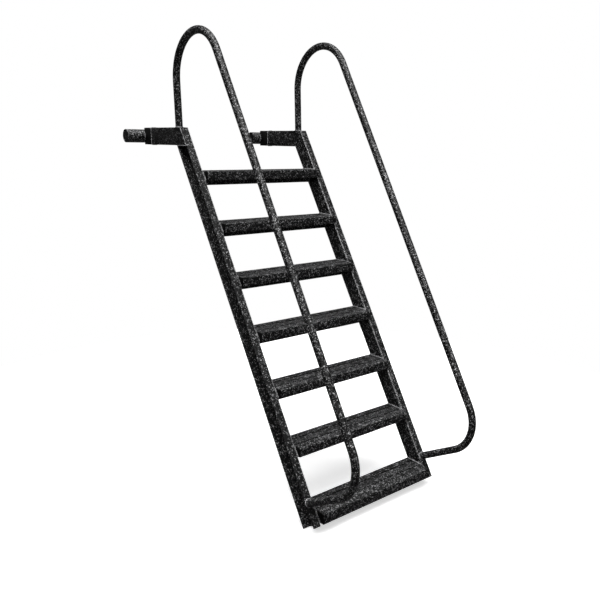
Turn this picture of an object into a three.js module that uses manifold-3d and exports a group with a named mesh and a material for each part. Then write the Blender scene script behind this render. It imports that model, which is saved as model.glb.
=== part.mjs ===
// Boat boarding ladder: two leaning channel stringers, seven treads, two looped handrails and
// two horizontal arms whose hinge sleeves turn on the boat's pivot shafts.
// Millimetres, +Z up, +X to the right, the climber on the -Y side and the boat on the +Y side.
// The origin is on the hinge axis, midway between the two arms.

import * as THREE from 'three';
import { mergeVertices } from 'three/addons/utils/BufferGeometryUtils.js';
import Module from 'manifold-3d';

const wasm = await Module();
wasm.setup();

// ---------------------------------------------------------------- driving dimensions

const gap = 0.3;                  // clearance between pieces that are welded face to face

const clearWidth = 625;           // between the stringers' webs
const topHeight = 1505;           // feet to the top of the arms
const lean = THREE.MathUtils.degToRad(58.1);   // stringer angle above the horizontal

const channelDepth = 76.2;        // stringer section, 3 in channel
const flangeWidth = 35.8;
const webThickness = 4.3;
const flangeThickness = 5;
const footFront = -6;             // foot cut at the front edge, along the stringer
const footRear = 3;               // foot cut at the rear edge, along the stringer

const treadCount = 7;
const treadPitch = 209.8;         // vertical
const lowestRegularTop = 64.2;    // where the lowest tread would be if it weren't dropped
const lowestDrop = 14;            // the lowest tread sits this much lower
const treadRear = 93;             // tread's rear edge behind the stringer's front edge
const panWidth = 85;              // flat pan, front to back
const panThickness = 4;
const panLeg = 60;                // down-turned legs of the pan
const panLegLowest = 44;
const grooveWidth = 3;
const grooveDepth = 1.5;
const grooveFromRear = 37;
const noseFront = 36.3;           // nose in front of the stringer's front edge
const noseHeight = 38.4;
const noseFrontLowest = 48.4;
const noseHeightLowest = 45;
const noseWall = 3;
const endPlateThickness = 3;
const endPlateInset = 0.6;

const armHeight = 76.2;
const armWall = 3.2;
const armRear = 241;              // arm's rear end behind the handrail post
const blockRear = 311;            // end block's rear face behind the handrail post
const spigotLength = 28;
const spigotClearance = 0.4;

const sleeveRadius = 30.15;       // hinge sleeve, 2 in pipe
const sleeveBore = 26.25;
const sleeveBehindBlock = 24;     // sleeve axis behind the end block's rear face
const sleeveOutboard = 85;        // sleeve beyond the arm's outer face
const sleeveInboard = 40;         // sleeve inside the stringer's clear width
const shaftRadius = 25.4;         // pivot shaft, 2 in bar
const shaftRecess = 1.5;
const shaftChamfer = 1.5;

const railRadius = 15.875;        // handrail, 1 1/4 in tube
const railWall = 2.6;
const postY = 979;                // handrail post's foot, behind the feet's front edge
const crownRadius = 178.9;        // handrail centre line
const runSteeper = THREE.MathUtils.degToRad(0.9);    // long run against the stringer
const postLean = THREE.MathUtils.degToRad(2.2);      // post, towards the boat as it rises
const lowerTilt = THREE.MathUtils.degToRad(2.7);     // lower leg against the stringer's normal
const lowerHeight = 94.2;         // lower leg's root, along the stringer from its foot
const lowerReach = 366.3;         // from the stringer to the corner of the bottom bend
const lowerBendRadius = 155;

const roundSides = 40;
const railSides = 12;
const crownSteps = 16;
const bendSteps = 10;

// ---------------------------------------------------------------- derived places

const innerX = clearWidth / 2;
const webX = innerX + webThickness;
const outerX = innerX + flangeWidth;
const armX = (webX + gap + outerX) / 2;
const armWidth = outerX - webX - gap;
const flangeRun = flangeThickness / Math.sin(lean);  // flange thickness measured along Y
const channelRun = channelDepth / Math.sin(lean);
const armBottom = topHeight - armHeight;
const pivotY = postY + blockRear + sleeveBehindBlock;
const pivotZ = topHeight - armHeight / 2;
const frontY = (z) => z / Math.tan(lean);            // stringer's front edge at height z

// ---------------------------------------------------------------- finishes

const finishes = {
  frame: { color: 0x1b1b1c, roughness: 0.55, metalness: 0.2 },
  tread: { color: 0x202021, roughness: 0.6, metalness: 0.2 },
  nose: { color: 0x232324, roughness: 0.6, metalness: 0.2 },
  plate: { color: 0x0c0c0d, roughness: 0.45, metalness: 0.2 },
  rail: { color: 0x1d1d1e, roughness: 0.5, metalness: 0.2 },
  block: { color: 0x0a0a0b, roughness: 0.5, metalness: 0.2 },
  sleeve: { color: 0x161617, roughness: 0.3, metalness: 0.4 },
  shaft: { color: 0x101011, roughness: 0.4, metalness: 0.5 },
};

// ---------------------------------------------------------------- shape helpers

function toSolid(geometry) {
  const bare = geometry.clone();
  bare.deleteAttribute('normal');
  bare.deleteAttribute('uv');
  const merged = mergeVertices(bare, 1e-4);
  const vertProperties = new Float32Array(merged.attributes.position.array);
  const triVerts = new Uint32Array(merged.index.array);
  return new wasm.Manifold(new wasm.Mesh({ numProp: 3, vertProperties, triVerts }));
}

function toGeometry(solid) {
  const mesh = solid.getMesh();
  const geometry = new THREE.BufferGeometry();
  geometry.setAttribute('position', new THREE.BufferAttribute(mesh.vertProperties, 3));
  geometry.setIndex(new THREE.BufferAttribute(mesh.triVerts, 1));
  geometry.computeVertexNormals();
  return geometry;
}

function box(x0, x1, y0, y1, z0, z1) {
  const geometry = new THREE.BoxGeometry(Math.abs(x1 - x0), y1 - y0, z1 - z0);
  return geometry.translate((x0 + x1) / 2, (y0 + y1) / 2, (z0 + z1) / 2);
}

function outline(points) {
  return new THREE.Shape(points.map(([a, b]) => new THREE.Vector2(a, b)));
}

function rectangle(a0, a1, b0, b1) {
  return [[a0, b0], [a1, b0], [a1, b1], [a0, b1]];
}

// A rectangle with a smaller one cut out of it, a wall thickness inside.
function tubeOutline(a0, a1, b0, b1, wall) {
  const shape = outline(rectangle(a0, a1, b0, b1));
  shape.holes.push(outline(rectangle(a0 + wall, a1 - wall, b0 + wall, b1 - wall)));
  return shape;
}

function prism(shape, length) {
  return new THREE.ExtrudeGeometry(shape, { depth: length, bevelEnabled: false });
}

// The shape's two coordinates are Y and Z.
function prismAlongX(shape, x0, x1) {
  const turn = new THREE.Matrix4().makeBasis(
    new THREE.Vector3(0, 1, 0), new THREE.Vector3(0, 0, 1), new THREE.Vector3(1, 0, 0));
  return prism(shape, x1 - x0).applyMatrix4(turn).translate(x0, 0, 0);
}

// The shape's two coordinates are Z and X.
function prismAlongY(shape, y0, y1) {
  const turn = new THREE.Matrix4().makeBasis(
    new THREE.Vector3(0, 0, 1), new THREE.Vector3(1, 0, 0), new THREE.Vector3(0, 1, 0));
  return prism(shape, y1 - y0).applyMatrix4(turn).translate(0, y0, 0);
}

// Leans an upright shape to the stringers' angle, keeping horizontal cuts horizontal.
function leaned(geometry) {
  return geometry.applyMatrix4(new THREE.Matrix4().makeShear(0, 0, 0, 0, 0, 1 / Math.tan(lean)));
}

// A round piece along X, turned from a closed outline of (radius, place along the axis).
function turnedAlongX(points, x, y, z) {
  const profile = points.map(([radius, along]) => new THREE.Vector2(radius, along));
  return new THREE.LatheGeometry(profile, roundSides).rotateZ(-Math.PI / 2).translate(x, y, z);
}

// ---------------------------------------------------------------- stringers

// Everything below the foot's cut, which is nearly square to the stringer.
function belowFoot(side) {
  const place = (along, depth) => [
    along * Math.cos(lean) + depth * Math.sin(lean),
    along * Math.sin(lean) - depth * Math.cos(lean),
  ];
  const front = place(2 * footFront - footRear, -channelDepth);
  const rear = place(2 * footRear - footFront, 2 * channelDepth);
  const shape = outline([front, rear, [rear[0], rear[1] - 200], [front[0], rear[1] - 200]]);
  return prismAlongX(shape, ...[side * (innerX - 1), side * (outerX + 1)].sort((a, b) => a - b));
}

// An outward-facing channel, cut level at the top. Its rear flange stops below the arm, which
// nests in the channel behind the front flange.
function stringer(side) {
  const profile = outline([
    [side * innerX, 0], [side * outerX, 0],
    [side * outerX, flangeRun], [side * webX, flangeRun],
    [side * webX, channelRun - flangeRun], [side * outerX, channelRun - flangeRun],
    [side * outerX, channelRun], [side * innerX, channelRun],
  ]);
  const channel = prism(profile, topHeight + channelDepth).translate(0, 0, -channelDepth);
  const notchX = [side * webX, side * (outerX + 1)].sort((a, b) => a - b);
  const notch = box(...notchX, channelRun - flangeRun - 1, channelRun + 1,
    armBottom - gap, topHeight + 1);
  const notched = leaned(toGeometry(toSolid(channel).subtract(toSolid(notch))));
  return toGeometry(toSolid(notched).subtract(toSolid(belowFoot(side))));
}

// ---------------------------------------------------------------- treads

function treadSizes(number) {
  const lowest = number === treadCount;
  const top = lowestRegularTop + (treadCount - number) * treadPitch - (lowest ? lowestDrop : 0);
  return {
    top,
    rear: frontY(top) + treadRear,
    front: frontY(top) - (lowest ? noseFrontLowest : noseFront),
    noseHeight: lowest ? noseHeightLowest : noseHeight,
    leg: lowest ? panLegLowest : panLeg,
  };
}

// Flat pan with two down-turned legs and one shallow groove along it.
function treadPan(number) {
  const { top, rear, leg } = treadSizes(number);
  const front = rear - panWidth;
  const groove = rear - grooveFromRear;
  const profile = outline([
    [front, top - leg], [front + panThickness, top - leg],
    [front + panThickness, top - panThickness], [rear - panThickness, top - panThickness],
    [rear - panThickness, top - leg], [rear, top - leg],
    [rear, top], [groove + grooveWidth / 2, top],
    [groove + grooveWidth / 2, top - grooveDepth], [groove - grooveWidth / 2, top - grooveDepth],
    [groove - grooveWidth / 2, top], [front, top],
  ]);
  return prismAlongX(profile, -innerX + gap, innerX - gap);
}

// Box tube along the tread's front edge, open at its ends until the end plates close it.
function treadNose(number) {
  const { top, rear, front, noseHeight: height } = treadSizes(number);
  const back = rear - panWidth - gap;
  const half = innerX - 2 * gap - endPlateThickness;
  return prismAlongX(tubeOutline(front, back, top - height, top, noseWall), -half, half);
}

function noseEndPlate(number, side) {
  const { top, rear, front, noseHeight: height } = treadSizes(number);
  const back = rear - panWidth - gap;
  const edges = [side * (innerX - gap), side * (innerX - gap - endPlateThickness)];
  edges.sort((a, b) => a - b);
  return box(...edges, front + endPlateInset, back - endPlateInset,
    top - height + endPlateInset, top - endPlateInset);
}

// ---------------------------------------------------------------- arms and their end blocks

// Box tube nested in the stringer, with its front end cut to the front flange's slope.
function arm(side) {
  const across = [side * armX - armWidth / 2, side * armX + armWidth / 2];
  const tube = prismAlongY(tubeOutline(armBottom, topHeight, ...across, armWall),
    frontY(armBottom) - 20, postY + armRear);
  const ahead = leaned(box(across[0] - 1, across[1] + 1, -200, flangeRun + gap, 0, topHeight + 20));
  return toGeometry(toSolid(tube).subtract(toSolid(ahead)));
}

// Solid block behind the arm: a spigot into the arm, and a rear end coped to the hinge sleeve.
function armEndBlock(side) {
  const x0 = side * armX - armWidth / 2;
  const x1 = side * armX + armWidth / 2;
  const start = postY + armRear + gap;
  const inset = armWall + spigotClearance;
  const body = box(x0, x1, start, postY + blockRear, armBottom, topHeight);
  const spigot = box(x0 + inset, x1 - inset, start - spigotLength, start + 1,
    armBottom + inset, topHeight - inset);
  const cope = turnedAlongX(
    [[0, x0 - 1], [sleeveRadius + gap, x0 - 1], [sleeveRadius + gap, x1 + 1], [0, x1 + 1]],
    0, pivotY, pivotZ);
  return toGeometry(toSolid(body).add(toSolid(spigot)).subtract(toSolid(cope)));
}

// ---------------------------------------------------------------- hinge sleeves and pivot shafts

function sleeveEnds(side) {
  return [side * (innerX - sleeveInboard), side * (outerX + sleeveOutboard)].sort((a, b) => a - b);
}

function hingeSleeve(side) {
  const [x0, x1] = sleeveEnds(side);
  const wall = [[sleeveBore, x0], [sleeveRadius, x0], [sleeveRadius, x1], [sleeveBore, x1],
    [sleeveBore, x0]];
  return turnedAlongX(wall, 0, pivotY, pivotZ);
}

function pivotShaft(side) {
  const ends = sleeveEnds(side);
  const x0 = ends[0] + shaftRecess;
  const x1 = ends[1] - shaftRecess;
  const bar = [[0, x0], [shaftRadius - shaftChamfer, x0], [shaftRadius, x0 + shaftChamfer],
    [shaftRadius, x1 - shaftChamfer], [shaftRadius - shaftChamfer, x1], [0, x1]];
  return turnedAlongX(bar, 0, pivotY, pivotZ);
}

// ---------------------------------------------------------------- handrails

// A path through fixed stations, each with its own direction, so straights need no steps.
class StationPath extends THREE.Curve {
  constructor(stations) {
    super();
    this.stations = stations;
  }

  station(t) {
    return this.stations[Math.round(t * (this.stations.length - 1))];
  }

  getPoint(t, target = new THREE.Vector3()) {
    return target.copy(this.station(t).place);
  }

  getPointAt(t, target) {
    return this.getPoint(t, target);
  }

  getTangentAt(t, target = new THREE.Vector3()) {
    return target.copy(this.station(t).direction);
  }
}

function inPlane(x, y, z) {
  return new THREE.Vector3(x, y, z);
}

// Stations round an arc in the plane of the rail. Angles are from +Y towards +Z.
function arcStations(x, centre, radius, from, to, steps) {
  const turn = Math.sign(to - from);
  const list = [];
  for (let i = 0; i <= steps; i += 1) {
    const angle = from + (to - from) * i / steps;
    list.push({
      place: inPlane(x, centre.y + radius * Math.cos(angle), centre.z + radius * Math.sin(angle)),
      direction: inPlane(0, -Math.sin(angle) * turn, Math.cos(angle) * turn),
    });
  }
  return list;
}

// The rail rises from the arm as a nearly upright post, loops forward over its crown, runs down
// in front of the stringer and bends back in to the stringer's front flange.
function railStations(x) {
  const runAngle = lean + runSteeper;
  const lowerAngle = lean + Math.PI / 2 + lowerTilt;
  const up = inPlane(0, Math.cos(runAngle), Math.sin(runAngle));
  const outward = inPlane(0, Math.cos(lowerAngle), Math.sin(lowerAngle));
  const root = inPlane(x, Math.cos(lean), Math.sin(lean)).multiplyScalar(lowerHeight).setX(x);
  const corner = root.clone().addScaledVector(outward, lowerReach);

  const towardRun = inPlane(0, Math.sin(runAngle), -Math.cos(runAngle));
  const forward = inPlane(0, -Math.cos(postLean), Math.sin(postLean));
  const foot = { place: inPlane(x, postY, topHeight + gap), direction: inPlane(0, 0, 1) };
  const besidePost = foot.place.clone().addScaledVector(forward, crownRadius);
  const onRun = corner.clone().addScaledVector(towardRun, crownRadius);
  const fromRun = besidePost.sub(onRun).dot(forward) / up.dot(forward);
  const crown = onRun.clone().addScaledVector(up, fromRun);

  const setback = lowerBendRadius * Math.tan((lowerAngle - runAngle) / 2);
  const bend = corner.clone().addScaledVector(up, setback)
    .addScaledVector(towardRun, lowerBendRadius);

  const crownArc = arcStations(x, crown, crownRadius, -postLean, runAngle + Math.PI / 2,
    crownSteps);
  const bendArc = arcStations(x, bend, lowerBendRadius, runAngle + Math.PI / 2,
    lowerAngle + Math.PI / 2, bendSteps);
  const end = {
    place: root.clone().addScaledVector(outward, -railRadius),
    direction: outward.clone().negate(),
  };
  return [foot, ...crownArc, ...bendArc, end];
}

function railSection() {
  const shape = new THREE.Shape().absarc(0, 0, railRadius, 0, 2 * Math.PI);
  shape.holes.push(new THREE.Path().absarc(0, 0, railRadius - railWall, 0, 2 * Math.PI));
  return shape;
}

function handrail(side) {
  const path = new StationPath(railStations(side * armX));
  const tube = new THREE.ExtrudeGeometry(railSection(), {
    extrudePath: path,
    steps: path.stations.length - 1,
    curveSegments: railSides,
  });
  const behind = leaned(box(side * armX - 40, side * armX + 40, -gap, 200, -100, 400));
  return toGeometry(toSolid(tube).subtract(toSolid(behind)));
}

// ---------------------------------------------------------------- assembly

const ladder = new THREE.Group();
ladder.position.set(0, -pivotY, -pivotZ);

function add(name, geometry, finish) {
  const mesh = new THREE.Mesh(geometry, new THREE.MeshStandardMaterial(finish));
  mesh.name = name;
  ladder.add(mesh);
}

for (const [label, side] of [['left', -1], ['right', 1]]) {
  add(`stringer_${label}`, stringer(side), finishes.frame);
  add(`arm_${label}`, arm(side), finishes.frame);
  add(`arm_end_block_${label}`, armEndBlock(side), finishes.block);
  add(`hinge_sleeve_${label}`, hingeSleeve(side), finishes.sleeve);
  add(`pivot_shaft_${label}`, pivotShaft(side), finishes.shaft);
  add(`handrail_${label}`, handrail(side), finishes.rail);
}

for (let number = 1; number <= treadCount; number += 1) {
  add(`tread_pan_${number}`, treadPan(number), finishes.tread);
  add(`tread_nose_${number}`, treadNose(number), finishes.nose);
  add(`nose_end_plate_left_${number}`, noseEndPlate(number, -1), finishes.plate);
  add(`nose_end_plate_right_${number}`, noseEndPlate(number, 1), finishes.plate);
}

export default ladder;
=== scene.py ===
"""Boat boarding ladder: rounded sections, weld beads and black powder coat round the CAD frame."""
import math
import random

import bmesh
import bpy
from mathutils import Matrix, Vector, noise


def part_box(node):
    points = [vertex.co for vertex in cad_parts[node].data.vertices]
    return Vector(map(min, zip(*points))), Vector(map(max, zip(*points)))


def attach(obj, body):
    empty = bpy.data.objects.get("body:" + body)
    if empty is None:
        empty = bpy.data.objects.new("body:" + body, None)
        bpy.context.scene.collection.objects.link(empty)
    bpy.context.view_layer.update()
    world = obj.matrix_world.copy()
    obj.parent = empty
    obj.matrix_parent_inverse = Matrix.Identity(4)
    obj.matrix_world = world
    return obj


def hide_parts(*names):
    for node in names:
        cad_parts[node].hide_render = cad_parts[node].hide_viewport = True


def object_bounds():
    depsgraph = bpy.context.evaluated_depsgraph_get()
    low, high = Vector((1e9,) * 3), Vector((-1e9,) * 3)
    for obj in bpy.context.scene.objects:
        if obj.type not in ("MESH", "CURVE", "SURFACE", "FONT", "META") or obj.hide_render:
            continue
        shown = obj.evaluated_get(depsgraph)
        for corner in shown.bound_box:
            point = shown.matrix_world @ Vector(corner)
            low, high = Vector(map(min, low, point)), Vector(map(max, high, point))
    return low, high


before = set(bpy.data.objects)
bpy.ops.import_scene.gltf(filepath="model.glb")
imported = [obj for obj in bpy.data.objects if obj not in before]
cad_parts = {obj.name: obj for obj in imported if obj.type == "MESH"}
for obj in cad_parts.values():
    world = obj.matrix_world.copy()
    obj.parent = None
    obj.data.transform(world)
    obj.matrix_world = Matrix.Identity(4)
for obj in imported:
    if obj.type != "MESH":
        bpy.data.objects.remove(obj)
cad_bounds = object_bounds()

MM = 0.001
SIDES = (("left", -1), ("right", 1))
TREADS = range(1, 8)

# ------------------------------------------------------------------ sizes, in millimetres

LEAN = math.radians(58.1)          # stringer angle above the horizontal
JOINT_GAP = 0.3                    # clearance between neighbouring pieces

WEB = 4.3
FLANGE = 5.0
CHANNEL_DEPTH = 76.2
CHANNEL_CORNER = 4.0               # rolled corners, inside and out
FLANGE_OUTER_EDGE = 2.2
FLANGE_INNER_EDGE = 1.5
FOOT_FRONT = -6.0                  # foot cut, along the stringer
FOOT_REAR = 3.0

PAN_THICKNESS = 4.0
PAN_BEND = 5.0                     # outside radius of the pan's folds
PAN_INNER_BEND = 1.5
PAN_LEG_EDGE = 0.8
GROOVE_FROM_REAR = 37.0
GROOVE_WIDTH = 5.0
GROOVE_DEPTH = 2.4
GROOVE_LIP = 0.7
GROOVE_ROOT = 0.4
GAP_ROUNDING = 3.2                 # rounding of the edges either side of a tread's long gap
GAP_SHADE_DEPTH = 20.0              # how far down that gap the painted shade reaches
SHADE_SHARE = 0.8                   # how much of each rounding the painted shade covers
NOSE_WALL = 3.0
NOSE_CORNER = 3.2
NOSE_BORE_CORNER = 1.0
PLATE_CORNER = 2.6
PLATE_EDGE = ((0.8, 0.0), (0.2, 0.35), (0.0, 0.9))    # (in from the face, inset of the outline)

ARM_WALL = 3.2
ARM_CORNER = 4.5
ARM_BORE_CORNER = 1.5
ARM_FRONT_GAP = 0.35
ARM_EDGE = 0.5
BLOCK_CORNER = 2.5
BLOCK_EDGE = 1.0
COPE_STEPS = 12                    # facets of the block's hollow round the sleeve
SLEEVE_BORE = 26.25
SLEEVE_MOUTH = 0.8                 # chamfer of the bore
SLEEVE_EDGE = ((0.0, 1.0), (0.35, 0.3), (1.2, 0.0))   # (in from the end, below the skin)
SHAFT_DRILL = ((4.0, 1.2), (1.5, 2.6), (0.0, 3.4))    # centre drilling: (depth, radius)
SHAFT_EDGE = ((0.0, 1.5), (0.4, 0.6), (1.5, 0.0))     # (in from the end, below the skin)
TURNED_SIDES = 64

RAIL_WALL = 2.6
RAIL_SIDES = 36
CROWN_RADIUS = 178.9
CROWN_STEPS = 48
POST_Y = 979.0                     # post's foot, behind the feet's front edge
POST_LEAN = math.radians(2.2)
RUN_STEEPER = math.radians(0.9)
LOWER_TILT = math.radians(2.7)
LOWER_HEIGHT = 94.2
LOWER_REACH = 366.3
LOWER_BEND_RADIUS = 155.0
LOWER_BEND_STEPS = 28

BEAD_SPACING = 1.1                 # between the rings of a weld bead
BEAD_RIPPLE = 3.0                  # length of one ripple
BEAD_SIDES = 8
BEAD_BODY = 0.86                   # thinnest part of a ripple, as a share of the radius
BEAD_WAVE = 0.16
BEAD_UNEVEN = 0.10
BEAD_UNEVEN_SCALE = 0.25
BEAD_TIP = 0.45                    # thickness of an open bead's tip
BEAD_TAPER = 2.2                   # length of that tip, in radii
BEAD_PROUD = 0.6                   # bead's centre line off the surface it lies on
WELD_STEPS = 16                    # along the curve of the block's cope
WELD_SIDES = 40                    # round a rail's end
OFF_AXIS = Vector((0.37, 0.61, 0.7))    # a direction that no bead runs along
TREAD_BEAD = 2.4                   # radii of the beads
ARM_BEAD = 2.2
BLOCK_BEAD = 2.0
HINGE_BEAD = 2.4
RAIL_BEAD = 2.2

HINGE_BEHIND_FOOT = 1314.0
HINGE_ABOVE_FOOT = 1466.9
FOOT = Vector((0.0, -HINGE_BEHIND_FOOT, -HINGE_ABOVE_FOOT)) * MM


def node_box(node):
    """Lowest and highest corner of a CAD node in millimetres from the ladder's foot line."""
    low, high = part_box(node)
    return (low - FOOT) / MM, (high - FOOT) / MM


def at(x, y, z):
    """A point given in millimetres from the foot line, in the row frame in metres."""
    return FOOT + Vector((x, y, z)) * MM


STRINGER_LOW, STRINGER_HIGH = node_box("stringer_right")
ARM_LOW, ARM_HIGH = node_box("arm_right")
SLEEVE_LOW, SLEEVE_HIGH = node_box("hinge_sleeve_right")
RAIL_LOW, RAIL_HIGH = node_box("handrail_right")

INNER_X = STRINGER_LOW.x
OUTER_X = STRINGER_HIGH.x
TOP_Z = STRINGER_HIGH.z
ARM_BOTTOM = ARM_LOW.z
ARM_X = (ARM_LOW.x + ARM_HIGH.x) / 2
PIVOT_Y = (SLEEVE_LOW.y + SLEEVE_HIGH.y) / 2
PIVOT_Z = (SLEEVE_LOW.z + SLEEVE_HIGH.z) / 2
SLEEVE_RADIUS = (SLEEVE_HIGH.z - SLEEVE_LOW.z) / 2
RAIL_RADIUS = (RAIL_HIGH.x - RAIL_LOW.x) / 2
FLANGE_RUN = FLANGE / math.sin(LEAN)
CHANNEL_RUN = CHANNEL_DEPTH / math.sin(LEAN)
X_AXIS = Vector((1, 0, 0))
Y_AXIS = Vector((0, 1, 0))
Z_AXIS = Vector((0, 0, 1))
UP_STRINGER = Vector((0, math.cos(LEAN), math.sin(LEAN)))
OUT_OF_STRINGER = Vector((0, -math.sin(LEAN), math.cos(LEAN)))


def front_y(z):
    """The stringer's front edge at height z."""
    return z / math.tan(LEAN)


def about_pivot(angle, radius):
    """Y and Z of a point round the hinge axis."""
    return PIVOT_Y + radius * math.cos(angle), PIVOT_Z + radius * math.sin(angle)


# ------------------------------------------------------------------ mesh helpers


def rounded(corners, steps=4):
    """An outline with its corners rounded. Each corner is (a, b) or (a, b, radius)."""
    points = []
    count = len(corners)
    for i, corner in enumerate(corners):
        here = Vector(corner[:2])
        radius = corner[2] if len(corner) > 2 else 0.0
        if radius == 0.0:
            points.append(tuple(here))
            continue
        before = (Vector(corners[i - 1][:2]) - here).normalized()
        after = (Vector(corners[(i + 1) % count][:2]) - here).normalized()
        half = before.angle(after) / 2
        reach = radius / math.tan(half)
        centre = here + (before + after).normalized() * (radius / math.sin(half))
        start = here + before * reach - centre
        end = here + after * reach - centre
        turn = math.pi - 2 * half
        if start.x * end.y - start.y * end.x < 0:
            turn = -turn
        for k in range(steps + 1):
            angle = turn * k / steps
            points.append((
                centre.x + start.x * math.cos(angle) - start.y * math.sin(angle),
                centre.y + start.x * math.sin(angle) + start.y * math.cos(angle)))
    return points


def box_outline(a0, a1, b0, b1, radius):
    """A rectangle with rounded corners."""
    return rounded([(a0, b0, radius), (a1, b0, radius), (a1, b1, radius), (a0, b1, radius)])


def loft(rings, loop=False):
    """A mesh through closed rings of equal length: capped at both ends, or joined end to end."""
    mesh = bmesh.new()
    rows = [[mesh.verts.new(point) for point in ring] for ring in rings]
    pairs = list(zip(rows, rows[1:]))
    if loop:
        pairs.append((rows[-1], rows[0]))
    for row, following in pairs:
        for i in range(len(row)):
            j = (i + 1) % len(row)
            mesh.faces.new((row[i], row[j], following[j], following[i]))
    if not loop:
        mesh.faces.new(list(reversed(rows[0])))
        mesh.faces.new(rows[-1])
    bmesh.ops.recalc_face_normals(mesh, faces=mesh.faces)
    return mesh


IN_PAINTED_SHADE = 1                     # material places that every piece has after its own coat: 1 is painted crevice shade, 2 a painted edge highlight
ON_HIGHLIGHT_EDGE = 2
BEVEL_FROM = math.radians(40)


def finish_piece(name, mesh, material, body, node=None, bevel=0.0, smooth=50):
    """Turns a bmesh into a named piece that rides on a body and may stand for a CAD node."""
    data = bpy.data.meshes.new(name)
    mesh.to_mesh(data)
    mesh.free()
    # each piece also carries the painted crevice shade and the painted edge highlight coats
    for coat in (material, CREVICE_SHADE_COAT, EDGE_HIGHLIGHT_COAT):
        data.materials.append(coat)
    data.shade_smooth()
    data.set_sharp_from_angle(angle=math.radians(smooth))
    piece = bpy.data.objects.new(name, data)
    bpy.context.scene.collection.objects.link(piece)
    if bevel:
        rounding = piece.modifiers.new("edges", "BEVEL")
        rounding.width = bevel * MM
        rounding.segments = 2
        rounding.limit_method = "ANGLE"
        rounding.angle_limit = BEVEL_FROM
        rounding.harden_normals = True
    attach(piece, body)
    if node:
        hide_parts(node)


def along_x(outline, x0, x1):
    """Rings at x0 and x1 of an outline whose coordinates are Y and Z."""
    return [[at(x, y, z) for y, z in outline] for x in (x0, x1)]


def tube_rings(outer, inner):
    """Rings of a hollow piece, out along the outer skin and back along the inner one."""
    return outer + list(reversed(inner))


def circle(centre, across, up, radius, sides):
    """Points round a centre, in the plane of two unit vectors."""
    return [
        centre + (across * math.cos(a) + up * math.sin(a)) * radius
        for a in (2 * math.pi * k / sides for k in range(sides))
    ]


# ------------------------------------------------------------------ materials, in metres


class Nodes:
    """A small helper for building one material's node tree."""

    def __init__(self, name):
        self.material = bpy.data.materials.new(name)
        self.material.use_nodes = True
        self.tree = self.material.node_tree
        self.shader = self.tree.nodes["Principled BSDF"]
        self.place = self.add("ShaderNodeTexCoord").outputs["Object"]

    def add(self, kind, **settings):
        """A new node, its properties or input sockets set by name."""
        node = self.tree.nodes.new(kind)
        for key, value in settings.items():
            if hasattr(node, key):
                setattr(node, key, value)
            else:
                node.inputs[key].default_value = value
        return node

    def link(self, source, target):
        self.tree.links.new(source, target)

    def noise(self, scale, detail=2.0, rough=0.5):
        """Smooth noise in the object's own coordinates."""
        node = self.add("ShaderNodeTexNoise")
        node.inputs["Scale"].default_value = scale
        node.inputs["Detail"].default_value = detail
        node.inputs["Roughness"].default_value = rough
        self.link(self.place, node.inputs["Vector"])
        return node.outputs["Fac"]

    def remap(self, source, low, high, to_low, to_high):
        """A straight-line change of range, held at both ends."""
        node = self.add("ShaderNodeMapRange")
        self.link(source, node.inputs["Value"])
        for key, value in (("From Min", low), ("From Max", high),
                           ("To Min", to_low), ("To Max", to_high)):
            node.inputs[key].default_value = value
        return node.outputs["Result"]

    def maths(self, operation, a, b):
        """One sum on two values, each an output or a number."""
        node = self.add("ShaderNodeMath", operation=operation)
        for socket, value in zip(node.inputs, (a, b)):
            if isinstance(value, (int, float)):
                socket.default_value = value
            else:
                self.link(value, socket)
        return node.outputs["Value"]

    def mix(self, factor, a, b):
        """Blends two colours, each an output or an (r, g, b) value."""
        node = self.add("ShaderNodeMix", data_type="RGBA")
        self.link(factor, node.inputs["Factor"])
        for key, value in (("A", a), ("B", b)):
            socket = next(s for s in node.inputs if s.name == key and s.type == "RGBA")
            if isinstance(value, tuple):
                socket.default_value = (*value, 1.0)
            else:
                self.link(value, socket)
        return next(s for s in node.outputs if s.type == "RGBA")

    def bump(self, height, distance, strength, under=None):
        """A relief, laid over another one where under is given."""
        node = self.add("ShaderNodeBump")
        node.inputs["Strength"].default_value = strength
        node.inputs["Distance"].default_value = distance
        self.link(height, node.inputs["Height"])
        if under is not None:
            self.link(under, node.inputs["Normal"])
        return node.outputs["Normal"]


FLAKE_SCALE = 400.0                # flakes per metre
WAVER_SCALE = 300.0                # ragged edges of the flakes
WAVER_REACH = 0.004
CROWD_SCALE = 110.0                # patches with more and fewer flakes
CROWD_CHANGE = 0.09
CLOUD_SCALE = 9.0                  # slow change of brightness over the piece
CLOUD_CHANGE = 0.2
DIMPLE_SCALE = 150.0
DIMPLE_DEPTH = 0.0012
PATCH_SCALE = 30.0
BRUSH_DEPTH = 0.0002
NOISE_LOW = 0.3                    # range that a noise texture mostly keeps to
NOISE_HIGH = 0.7
COOL = 1.02                        # blue over red and green


def grey(value):
    """A near-neutral colour."""
    return (value, value, value * COOL)


def ragged_flakes(nodes, grain):
    """A Voronoi texture whose cells have uneven edges: one cell is one flake."""
    waver = nodes.add("ShaderNodeTexNoise")
    waver.inputs["Scale"].default_value = WAVER_SCALE * grain
    nodes.link(nodes.place, waver.inputs["Vector"])
    offset = nodes.add("ShaderNodeVectorMath", operation="SCALE")
    nodes.link(waver.outputs["Color"], offset.inputs[0])
    offset.inputs["Scale"].default_value = WAVER_REACH / grain
    wavy = nodes.add("ShaderNodeVectorMath", operation="ADD")
    nodes.link(nodes.place, wavy.inputs[0])
    nodes.link(offset.outputs["Vector"], wavy.inputs[1])
    flakes = nodes.add("ShaderNodeTexVoronoi")
    flakes.inputs["Scale"].default_value = FLAKE_SCALE * grain
    flakes.inputs["Randomness"].default_value = 1.0
    nodes.link(wavy.outputs["Vector"], flakes.inputs["Vector"])
    return flakes


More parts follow.
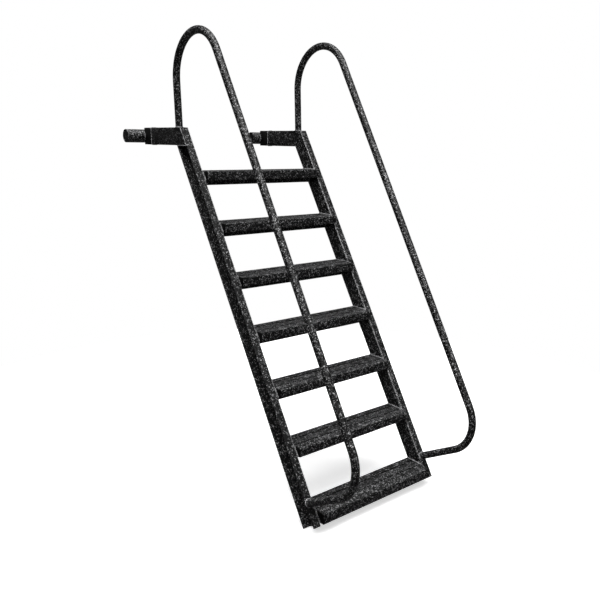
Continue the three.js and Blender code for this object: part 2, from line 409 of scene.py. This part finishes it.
def hammered(name, dark, light, cover, roughness, grain=1.0, specular=0.35):
    """Black powder coat strewn with light flakes two to three millimetres across."""
    nodes = Nodes(name)
    flakes = ragged_flakes(nodes, grain)
    split = nodes.add("ShaderNodeSeparateColor")
    nodes.link(flakes.outputs["Color"], split.inputs["Color"])
    chance = split.outputs["Red"]
    crowd = nodes.remap(nodes.noise(CROWD_SCALE * grain, 2.0, 0.6), NOISE_LOW, NOISE_HIGH,
                        -CROWD_CHANGE, CROWD_CHANGE)
    lit = nodes.remap(nodes.maths("ADD", chance, crowd), 1.0 - cover, 1.08 - cover * 0.4,
                      0.0, 1.0)
    cloud = nodes.remap(nodes.noise(CLOUD_SCALE, 2.0, 0.5), NOISE_LOW, NOISE_HIGH,
                        1.0 - CLOUD_CHANGE, 1.0 + CLOUD_CHANGE)
    shade = nodes.add("ShaderNodeVectorMath", operation="SCALE")
    nodes.link(nodes.mix(lit, grey(dark), grey(light)), shade.inputs[0])
    nodes.link(cloud, shade.inputs["Scale"])
    nodes.link(shade.outputs["Vector"], nodes.shader.inputs["Base Color"])
    gloss = nodes.remap(chance, 0.0, 1.0, roughness + 0.14, roughness - 0.10)
    nodes.link(gloss, nodes.shader.inputs["Roughness"])
    dimples = nodes.bump(flakes.outputs["Distance"], DIMPLE_DEPTH, 0.7)
    waves = nodes.noise(DIMPLE_SCALE * grain, 3.0, 0.6)
    relief = nodes.bump(waves, 2.0 * DIMPLE_DEPTH, 0.8, dimples)
    nodes.link(relief, nodes.shader.inputs["Normal"])
    nodes.shader.inputs["Specular IOR Level"].default_value = specular
    return nodes.material


def smooth_black(name, value, roughness, grain=220.0, specular=0.3):
    """Plain black paint on cut or machined faces, with faint brush marks, and the near-black
    painted shade laid in crevices.
    """
    nodes = Nodes(name)
    patches = nodes.remap(nodes.noise(PATCH_SCALE, 3.0, 0.6), NOISE_LOW, NOISE_HIGH, 0.0, 1.0)
    colour = nodes.mix(patches, grey(value * 0.7), grey(value * 1.5))
    nodes.link(colour, nodes.shader.inputs["Base Color"])
    marks = nodes.noise(grain, 4.0, 0.65)
    gloss = nodes.remap(marks, NOISE_LOW, NOISE_HIGH, roughness - 0.06, roughness + 0.12)
    nodes.link(gloss, nodes.shader.inputs["Roughness"])
    nodes.link(nodes.bump(marks, BRUSH_DEPTH, 0.6), nodes.shader.inputs["Normal"])
    nodes.shader.inputs["Specular IOR Level"].default_value = specular
    return nodes.material


FRAME_COAT = hammered("frame_coat", 0.002, 0.48, 0.16, 0.42, grain=0.8, specular=0.3)
RAIL_COAT = hammered("rail_coat", 0.002, 0.62, 0.18, 0.30, grain=0.8, specular=0.4)
# painted highlight: a lighter, denser-flaked copy of the frame coat for the stringers' rolled inner
# front corners
EDGE_HIGHLIGHT_COAT = hammered("painted_edge_highlight", 0.010, 0.75, 0.55, 0.38, specular=0.6)
TREAD_COAT = hammered("tread_coat", 0.002, 0.42, 0.17, 0.48, grain=0.8, specular=0.3)
# painted light: a lighter copy of the tread coat, so the noses read brighter than the pans
NOSE_LIT_COAT = hammered("nose_coat_painted_light", 0.002, 0.48, 0.19, 0.48, grain=0.8, specular=0.3)
PIPE_COAT = hammered("pipe_coat", 0.002, 0.55, 0.20, 0.26, grain=1.0, specular=0.5)
# painted highlight: the beads are far lighter than the coat around them, standing for the glints on
# their ripples
WELD_GLINT_COAT = hammered("weld_coat_painted_glint", 0.02, 0.85, 0.65, 0.32, grain=1.4, specular=0.8)
PLATE_COAT = smooth_black("plate_coat", 0.002, 0.42, specular=0.2)
BLOCK_COAT = smooth_black("block_coat", 0.002, 0.45, specular=0.2)
SHAFT_COAT = smooth_black("shaft_coat", 0.004, 0.38, grain=500.0, specular=0.4)
# painted shade: a nearly black, rough coat for faces in gaps and grooves, darker than the coat
# around them
CREVICE_SHADE_COAT = smooth_black("painted_crevice_shade", 0.001, 0.80, specular=0.05)


# ------------------------------------------------------------------ stringers


def foot_z(behind):
    """Height of the foot's cut at a distance behind the front edge, measured along Y."""
    depth = behind * math.sin(LEAN)
    along = FOOT_FRONT + (FOOT_REAR - FOOT_FRONT) * depth / CHANNEL_DEPTH
    return along * math.sin(LEAN) - depth * math.cos(LEAN)


def stringer(label, side):
    """Outward channel with rolled corners; its rear flange stops under the arm."""
    inner, web, outer = (side * x for x in (INNER_X, INNER_X + WEB, OUTER_X))
    run, rear = FLANGE_RUN, CHANNEL_RUN
    steps = 5
    full = rounded([
        (inner, 0, CHANNEL_CORNER), (outer, 0, FLANGE_OUTER_EDGE),
        (outer, run, FLANGE_INNER_EDGE), (web, run, CHANNEL_CORNER),
        (web, rear - run, CHANNEL_CORNER), (outer, rear - run, FLANGE_INNER_EDGE),
        (outer, rear, FLANGE_OUTER_EDGE), (inner, rear, CHANNEL_CORNER)], steps)
    corner = steps + 1
    upper = full[:4 * corner] + [(web, rear - run)] * corner + [(web, rear)] * (2 * corner)
    upper += full[7 * corner:]
    notch_z = ARM_BOTTOM - JOINT_GAP
    rings = [[at(x, y + front_y(foot_z(y)), foot_z(y)) for x, y in full]]
    for outline, z in ((full, notch_z), (upper, notch_z), (upper, TOP_Z)):
        rings.append([at(x, y + front_y(z), z) for x, y in outline])
    mesh = loft(rings)
    bmesh.ops.remove_doubles(mesh, verts=mesh.verts, dist=1e-6)
    bmesh.ops.recalc_face_normals(mesh, faces=mesh.faces)
    # painted highlight: the rolled inner front corner gets the lighter edge coat
    for face in mesh.faces:
        middle = (face.calc_center_median() - FOOT) / MM
        behind = middle.y - front_y(middle.z)
        if abs(middle.x) < INNER_X + CHANNEL_CORNER and behind < CHANNEL_CORNER:
            face.material_index = ON_HIGHLIGHT_EDGE
    finish_piece(f"stringer_rolled_{label}", mesh, FRAME_COAT, "ladder",
                 f"stringer_{label}")


# ------------------------------------------------------------------ treads


def tread(number):
    """One tread: its pan, its nose, the nose's end plates and the welds at both ends."""
    tread_pan(number)
    tread_nose(number)
    for label, side in SIDES:
        nose_end_plate(label, side, number)
        tread_welds(label, side, number)


def tread_pan(number):
    """Plate folded down at both edges, with one groove along its top."""
    low, high = node_box(f"tread_pan_{number}")
    top, leg = high.z, low.z
    thick = PAN_THICKNESS
    groove = high.y - GROOVE_FROM_REAR
    half = GROOVE_WIDTH / 2
    groove_floor = top - GROOVE_DEPTH
    pan = rounded([
        (low.y, leg, PAN_LEG_EDGE), (low.y + thick, leg, PAN_LEG_EDGE),
        (low.y + thick, top - thick, PAN_INNER_BEND),
        (high.y - thick, top - thick, PAN_INNER_BEND),
        (high.y - thick, leg, PAN_LEG_EDGE), (high.y, leg, PAN_LEG_EDGE),
        (high.y, top, PAN_BEND), (groove + half, top, GROOVE_LIP),
        (groove + half, groove_floor, GROOVE_ROOT), (groove - half, groove_floor, GROOVE_ROOT),
        (groove - half, top, GROOVE_LIP), (low.y, top, GAP_ROUNDING)])
    mesh = loft(along_x(pan, low.x, high.x))
    # painted shade in the gap behind the nose and down the groove
    paint_crevice_shade(mesh, low.y - 1, low.y + GAP_ROUNDING * SHADE_SHARE, top - GAP_SHADE_DEPTH, top - 0.1)
    paint_crevice_shade(mesh, groove - half - 0.5, groove + half + 0.5, groove_floor - 1, top - 0.2)
    finish_piece(f"tread_pan_folded_{number}", mesh, TREAD_COAT, "ladder",
                 f"tread_pan_{number}")


def tread_nose(number):
    """Box tube along the tread's front."""
    low, high = node_box(f"tread_nose_{number}")
    top = node_box(f"tread_pan_{number}")[1].z
    wall = NOSE_WALL
    outer = box_outline(low.y, high.y, low.z, high.z, NOSE_CORNER)
    inner = box_outline(low.y + wall, high.y - wall, low.z + wall, high.z - wall,
                        NOSE_BORE_CORNER)
    rings = tube_rings(along_x(outer, low.x, high.x), along_x(inner, low.x, high.x))
    mesh = loft(rings, loop=True)
    # painted shade on the nose's rear rounding, where it faces the gap
    paint_crevice_shade(mesh, high.y - NOSE_CORNER * SHADE_SHARE, high.y + 1, low.z, top - 0.1)
    finish_piece(f"tread_nose_rolled_{number}", mesh, NOSE_LIT_COAT, "ladder",
                 f"tread_nose_{number}")


def paint_crevice_shade(mesh, y0, y1, z0, z1):
    """Gives the painted crevice shade to the faces whose middle lies between these places."""
    for face in mesh.faces:
        middle = (face.calc_center_median() - FOOT) / MM
        if y0 < middle.y < y1 and z0 < middle.z < z1:
            face.material_index = IN_PAINTED_SHADE


def nose_end_plate(label, side, number):
    """Plate that closes the nose tube, with a softened outer edge."""
    node = f"nose_end_plate_{label}_{number}"
    low, high = node_box(node)
    inner, outer = (low.x, high.x) if side > 0 else (high.x, low.x)
    rings = []
    for x, inset in ((inner, 0.0), *((outer - side * depth, inset) for depth, inset in PLATE_EDGE)):
        shape = box_outline(low.y + inset, high.y - inset, low.z + inset, high.z - inset,
                            PLATE_CORNER)
        rings.append([at(x, y, z) for y, z in shape])
    finish_piece(f"nose_plate_{label}_{number}", loft(rings), PLATE_COAT, "ladder",
                 node)


# ------------------------------------------------------------------ arms, blocks, hinges


def arm(label):
    """Box tube nested in the stringer, its front end sloped behind the front flange."""
    low, high = node_box(f"arm_{label}")
    wall = ARM_WALL
    section = box_outline(low.x, high.x, low.z, high.z, ARM_CORNER)
    bore = box_outline(low.x + wall, high.x - wall, low.z + wall, high.z - wall,
                       ARM_BORE_CORNER)

    def front(shape):
        return [at(x, front_y(z) + FLANGE_RUN + ARM_FRONT_GAP, z) for x, z in shape]

    def rear(shape):
        return [at(x, high.y, z) for x, z in shape]

    rings = [front(section), rear(section), rear(bore), front(bore)]
    finish_piece(f"arm_rolled_{label}", loft(rings, loop=True), FRAME_COAT, "ladder",
                 f"arm_{label}", bevel=ARM_EDGE)


def arm_end_block(label):
    """Block behind the arm with rounded edges, coped round the hinge sleeve."""
    low, high = node_box(f"arm_end_block_{label}")
    arm_high = node_box(f"arm_{label}")[1]
    start = arm_high.y + JOINT_GAP
    reach = SLEEVE_RADIUS + JOINT_GAP
    bite = math.acos((PIVOT_Y - high.y) / reach)
    edge = BLOCK_EDGE
    outline = rounded([(high.y, low.z, BLOCK_CORNER), (start, low.z, edge),
                       (start, high.z, edge), (high.y, high.z, BLOCK_CORNER)])
    for k in range(COPE_STEPS + 1):
        outline.append(about_pivot(math.pi - bite + 2 * bite * k / COPE_STEPS, reach))
    rings = []
    for x, inset in ((low.x, edge), (low.x + edge, 0.0), (high.x - edge, 0.0), (high.x, edge)):
        rings.append([
            at(x, min(max(y, start + inset), high.y), min(max(z, low.z + inset), high.z - inset))
            for y, z in outline])
    finish_piece(f"end_block_{label}", loft(rings), BLOCK_COAT, "ladder",
                 f"arm_end_block_{label}")


def turned(profile):
    """Rings about the hinge axis from (x, radius) pairs."""
    return [circle(at(x, PIVOT_Y, PIVOT_Z), Y_AXIS, Z_AXIS, radius * MM, TURNED_SIDES)
            for x, radius in profile]


def hinge_sleeve(label):
    """Crosswise pipe with eased ends and a chamfered bore."""
    low, high = node_box(f"hinge_sleeve_{label}")
    mouth = SLEEVE_BORE + SLEEVE_MOUTH
    profile = [(low.x, mouth)]
    profile += [(low.x + inward, SLEEVE_RADIUS - drop) for inward, drop in SLEEVE_EDGE]
    profile += [(high.x - inward, SLEEVE_RADIUS - drop) for inward, drop in reversed(SLEEVE_EDGE)]
    profile += [(high.x, mouth), (high.x - SLEEVE_MOUTH, SLEEVE_BORE),
                (low.x + SLEEVE_MOUTH, SLEEVE_BORE)]
    finish_piece(f"hinge_pipe_{label}", loft(turned(profile), loop=True), PIPE_COAT, "ladder",
                 f"hinge_sleeve_{label}", smooth=40)


def pivot_shaft(label):
    """Solid bar with chamfered ends and a centre-drilled dimple in each."""
    low, high = node_box(f"pivot_shaft_{label}")
    skin = (high.z - low.z) / 2
    end = [*SHAFT_DRILL, *((inward, skin - drop) for inward, drop in SHAFT_EDGE)]
    profile = [(low.x + inward, radius) for inward, radius in end]
    profile += [(high.x - inward, radius) for inward, radius in reversed(end)]
    finish_piece(f"pivot_bar_{label}", loft(turned(profile)), SHAFT_COAT, "pivot_shafts",
                 f"pivot_shaft_{label}", smooth=40)


# ------------------------------------------------------------------ handrails


def rail_path(x):
    """Stations (place, direction) in millimetres: post, crown, long run, bend and lower leg."""
    run_angle = LEAN + RUN_STEEPER
    lower_angle = LEAN + math.pi / 2 + LOWER_TILT
    up = Vector((0, math.cos(run_angle), math.sin(run_angle)))
    out = Vector((0, math.cos(lower_angle), math.sin(lower_angle)))
    root = Vector((x, 0, 0)) + UP_STRINGER * LOWER_HEIGHT
    corner = root + out * LOWER_REACH
    inward = Vector((0, math.sin(run_angle), -math.cos(run_angle)))
    foot = Vector((x, POST_Y, TOP_Z + JOINT_GAP))
    forward = Vector((0, -math.cos(POST_LEAN), math.sin(POST_LEAN)))
    on_run = corner + inward * CROWN_RADIUS
    beside_post = foot + forward * CROWN_RADIUS
    crown = on_run + up * ((beside_post - on_run).dot(forward) / up.dot(forward))
    setback = LOWER_BEND_RADIUS * math.tan((lower_angle - run_angle) / 2)
    bend = corner + up * setback + inward * LOWER_BEND_RADIUS
    stations = [(foot, Z_AXIS)]
    stations += arc(crown, CROWN_RADIUS, -POST_LEAN, run_angle + math.pi / 2, CROWN_STEPS)
    stations += arc(bend, LOWER_BEND_RADIUS, run_angle + math.pi / 2,
                    lower_angle + math.pi / 2, LOWER_BEND_STEPS)
    stations.append((root, -out))
    return stations


def arc(centre, radius, start, end, steps):
    """Stations round a bend in the rail's upright plane."""
    stations = []
    for k in range(steps + 1):
        angle = start + (end - start) * k / steps
        radial = Vector((0, math.cos(angle), math.sin(angle)))
        stations.append((centre + radial * radius, Vector((0, -radial.z, radial.y))))
    return stations


def handrail(label, side):
    """One bent tube, its lower end cut to lie on the stringer's front flange."""
    stations = rail_path(side * ARM_X)
    last = stations[-1][1]
    fall = last.dot(OUT_OF_STRINGER)
    skins = []
    for radius in (RAIL_RADIUS, RAIL_RADIUS - RAIL_WALL):
        rings = [circle(place, X_AXIS, direction.cross(X_AXIS), radius, RAIL_SIDES)
                 for place, direction in stations]
        rings[-1] = [point + last * ((JOINT_GAP - point.dot(OUT_OF_STRINGER)) / fall)
                     for point in rings[-1]]
        skins.append([[at(*point) for point in ring] for ring in rings])
    mesh = loft(tube_rings(skins[0], skins[1]), loop=True)
    finish_piece(f"handrail_bent_{label}", mesh, RAIL_COAT, "ladder",
                 f"handrail_{label}", smooth=40)


# ------------------------------------------------------------------ weld beads


def bead_path(points, closed):
    """The path's points and the places between them, one BEAD_SPACING apart."""
    following = points[1:] + points[:1] if closed else points[1:]
    path = []
    for start, end in zip(points, following):
        steps = max(2, round((end - start).length / BEAD_SPACING))
        path += [start.lerp(end, k / steps) for k in range(steps)]
    if not closed:
        path.append(points[-1])
    return path


def bead(points, radius, seed, closed=False):
    """A rippled bead along a path in millimetres, as a bmesh."""
    rng = random.Random(seed)
    path = bead_path(points, closed)
    mesh_rings = []
    travelled = 0.0
    phase = rng.random() * BEAD_RIPPLE
    offset = Vector([rng.random() * 50 for axis in range(3)])
    count = len(path)
    for i, place in enumerate(path):
        ahead = path[(i + 1) % count] if closed or i + 1 < count else place
        behind = path[i - 1] if closed or i else place
        direction = (ahead - behind).normalized()
        travelled += (place - behind).length
        side = direction.cross(OFF_AXIS).normalized()
        up = direction.cross(side)
        wave = abs(math.sin(math.pi * (travelled + phase) / BEAD_RIPPLE))
        uneven = noise.noise(place * BEAD_UNEVEN_SCALE + offset)
        swell = BEAD_BODY + BEAD_WAVE * wave + BEAD_UNEVEN * uneven
        if not closed:
            reach = min(i, count - 1 - i) * BEAD_SPACING
            swell *= min(1.0, BEAD_TIP + reach / (BEAD_TAPER * radius))
        mesh_rings.append(circle(place, side, up, radius * swell, BEAD_SIDES))
    return loft([[at(*p) for p in ring] for ring in mesh_rings], loop=closed)


def weld(name, paths, radius, closed=False):
    """One piece made of the beads along several paths."""
    joined = bmesh.new()
    scratch = bpy.data.meshes.new(name + "_bead")
    for index, points in enumerate(paths):
        single = bead(points, radius, f"{name}{index}", closed)
        single.to_mesh(scratch)
        single.free()
        joined.from_mesh(scratch)
    bpy.data.meshes.remove(scratch)
    finish_piece(name, joined, WELD_GLINT_COAT, "ladder", smooth=60)


def tread_welds(label, side, number):
    """Beads where a tread's ends meet the stringer's web and front flange."""
    high = node_box(f"tread_pan_{number}")[1]
    nose_low, nose_high = node_box(f"tread_nose_{number}")
    x = side * (INNER_X - 0.8)
    rear_edge = front_y(high.z) + CHANNEL_RUN - 1.0
    upper = [Vector((x, front_y(high.z) + 2, high.z + 0.8)),
             Vector((x, min(high.y, rear_edge), high.z + 0.8))]
    front = [Vector((x, front_y(nose_high.z) - 1.2, nose_high.z)),
             Vector((x, front_y(nose_low.z) - 1.2, nose_low.z))]
    weld(f"weld_tread_{number}_{label}", [upper, front], TREAD_BEAD)


def arm_weld(label, side):
    """Beads under the arm, along the notch, and up the slope of its front end."""
    low = node_box(f"arm_{label}")[0]
    outer = side * OUTER_X
    flange_y = front_y(low.z) + FLANGE_RUN
    steps = 4
    length = CHANNEL_RUN - 10
    across = [Vector((outer - side * BEAD_PROUD, flange_y + 3 + k * length / steps, low.z - 0.4))
              for k in range(steps + 1)]
    slope = [Vector((outer - side * 0.2, front_y(z) + FLANGE_RUN + 0.2, z))
             for z in (low.z + 1, TOP_Z - 2)]
    weld(f"weld_arm_{label}", [across, slope], ARM_BEAD)


def end_block_weld(label):
    """A bead round the seam between the arm and its end block, with cut corners."""
    low, high = node_box(f"arm_{label}")
    y = high.y + JOINT_GAP / 2
    cut_x, cut_z = 4.2, 4.0
    corners = ((low.x, low.z + cut_z), (low.x, high.z - cut_z),
               (low.x + cut_x, high.z), (high.x - cut_x, high.z),
               (high.x, high.z - cut_z), (high.x, low.z + cut_z),
               (high.x - cut_x, low.z), (low.x + cut_x, low.z))
    seam = [Vector((x, y, z)) for x, z in corners]
    weld(f"weld_end_block_{label}", [seam], BLOCK_BEAD, closed=True)


def hinge_weld(label):
    """Beads round the block's cope on both sides and across its two edges."""
    low, high = node_box(f"arm_{label}")
    block_high = node_box(f"arm_end_block_{label}")[1]
    ring = SLEEVE_RADIUS + 2 * JOINT_GAP
    bite = math.acos((PIVOT_Y - block_high.y) / ring)
    angles = [math.pi - bite + 2 * bite * k / WELD_STEPS for k in range(WELD_STEPS + 1)]
    paths = [[Vector((x, *about_pivot(angle, ring))) for angle in angles]
             for x in (low.x - BEAD_PROUD, high.x + BEAD_PROUD)]
    for turn in (-1, 1):
        edge = about_pivot(math.pi + turn * bite, ring)
        paths.append([Vector((low.x, *edge)), Vector((high.x, *edge))])
    weld(f"weld_hinge_{label}", paths, HINGE_BEAD)


def rail_welds(label, side):
    """Rings of weld round both ends of the handrail."""
    x = side * ARM_X
    post = circle(Vector((x, POST_Y, TOP_Z + BEAD_PROUD)), X_AXIS, Y_AXIS, RAIL_RADIUS + 0.3,
                  WELD_SIDES)
    weld(f"weld_post_{label}", [post], RAIL_BEAD, closed=True)
    root = rail_path(x)[-1][0]
    foot = circle(root + OUT_OF_STRINGER * 0.8, X_AXIS, UP_STRINGER, RAIL_RADIUS + 0.4,
                  WELD_SIDES)
    weld(f"weld_rail_foot_{label}", [foot], RAIL_BEAD, closed=True)


# ------------------------------------------------------------------ floor, light and camera

FLOOR_RADIUS = 2.4
FLOOR_SIDES = 96
FLOOR_BELOW = 0.001
FLOOR_GLOW = 0.62
AMBIENT = 0.08                     # the surroundings' light on the ladder
KEY_STRENGTH = 3.9
KEY_SPREAD = math.radians(60)
KEY_FROM = Vector((-0.10, -0.14, 0.98))
FILL_PLACE = Vector((-0.4, -2.0, 0.9))
FILL_TARGET = Vector((0.0, -0.5, -0.2))
FILL_SIZE = 1.0
FILL_POWER = 7.0
WHITE = (1.0, 1.0, 1.0, 1.0)


def floor():
    """A pale disc under the feet, kept out of the ladder's reflections."""
    nodes = Nodes("floor_paint")
    paint = nodes.mix(nodes.noise(3.0), (0.86, 0.86, 0.86), (0.90, 0.90, 0.90))
    nodes.link(paint, nodes.shader.inputs["Base Color"])
    nodes.shader.inputs["Roughness"].default_value = 0.9
    nodes.shader.inputs["Specular IOR Level"].default_value = 0.1
    nodes.shader.inputs["Emission Color"].default_value = WHITE
    nodes.shader.inputs["Emission Strength"].default_value = FLOOR_GLOW
    low, high = cad_bounds
    centre = Vector((0, (low.y + high.y) / 2, low.z - FLOOR_BELOW))
    rim = circle(centre, X_AXIS, Y_AXIS, FLOOR_RADIUS, FLOOR_SIDES)
    data = bpy.data.meshes.new("floor")
    data.from_pydata(rim, [], [tuple(range(len(rim)))])
    data.materials.append(nodes.material)
    ground = bpy.data.objects.new("floor", data)
    bpy.context.scene.collection.objects.link(ground)
    ground.visible_diffuse = False
    ground.visible_glossy = False


def add_light(name, kind, energy, toward):
    """A light that shines along the opposite of a vector. Returns its object."""
    data = bpy.data.lights.new(name, kind)
    data.energy = energy
    lamp = bpy.data.objects.new(name, data)
    lamp.rotation_mode = "QUATERNION"
    lamp.rotation_quaternion = toward.to_track_quat("Z", "Y")
    bpy.context.scene.collection.objects.link(lamp)
    return lamp


def studio():
    """Surroundings white to the camera and dim to the ladder, a broad sun and a soft fill."""
    world = bpy.data.worlds.new("studio")
    world.use_nodes = True
    tree = world.node_tree
    background = tree.nodes["Background"]
    path = tree.nodes.new("ShaderNodeLightPath")
    level = tree.nodes.new("ShaderNodeMapRange")
    level.inputs["To Min"].default_value = AMBIENT
    level.inputs["To Max"].default_value = 1.0
    tree.links.new(path.outputs["Is Camera Ray"], level.inputs["Value"])
    tree.links.new(level.outputs["Result"], background.inputs["Strength"])
    background.inputs["Color"].default_value = WHITE
    scene = bpy.context.scene
    scene.world = world
    scene.view_settings.view_transform = "Standard"
    key = add_light("key", "SUN", KEY_STRENGTH, KEY_FROM)
    key.data.angle = KEY_SPREAD
    fill = add_light("fill", "AREA", FILL_POWER, FILL_PLACE - FILL_TARGET)
    fill.data.size = FILL_SIZE
    fill.location = FILL_PLACE


CAMERA_PLACE = Vector((-1.8235, -3.0770, -0.0139))
CAMERA_AZIMUTH = math.radians(-40.185)
CAMERA_ELEVATION = math.radians(15.581)
CAMERA_ROLL = math.radians(0.901)
CAMERA_LENS = 39.994
CAMERA_SHIFT = (-0.0325, 0.0462)
SENSOR_WIDTH = 36.0


def camera():
    """The photograph's viewpoint, fitted to the ladder's straight edges."""
    away = math.cos(CAMERA_ELEVATION)
    back = Vector((math.sin(CAMERA_AZIMUTH) * away, -math.cos(CAMERA_AZIMUTH) * away,
                   math.sin(CAMERA_ELEVATION)))
    level = Vector((math.cos(CAMERA_AZIMUTH), math.sin(CAMERA_AZIMUTH), 0))
    upright = back.cross(level)
    right = level * math.cos(CAMERA_ROLL) + upright * math.sin(CAMERA_ROLL)
    up = back.cross(right)
    data = bpy.data.cameras.new("camera")
    data.lens = CAMERA_LENS
    data.sensor_width = SENSOR_WIDTH
    data.shift_x, data.shift_y = CAMERA_SHIFT
    eye = bpy.data.objects.new("camera", data)
    turn = Matrix((right, up, back)).transposed().to_4x4()
    eye.matrix_world = Matrix.Translation(CAMERA_PLACE) @ turn
    bpy.context.scene.collection.objects.link(eye)
    bpy.context.scene.camera = eye


# ------------------------------------------------------------------ build

camera()
studio()
floor()
for label, side in SIDES:
    stringer(label, side)
    arm(label)
    arm_end_block(label)
    hinge_sleeve(label)
    pivot_shaft(label)
    handrail(label, side)
    arm_weld(label, side)
    end_block_weld(label)
    hinge_weld(label)
    rail_welds(label, side)
for number in TREADS:
    tread(number)
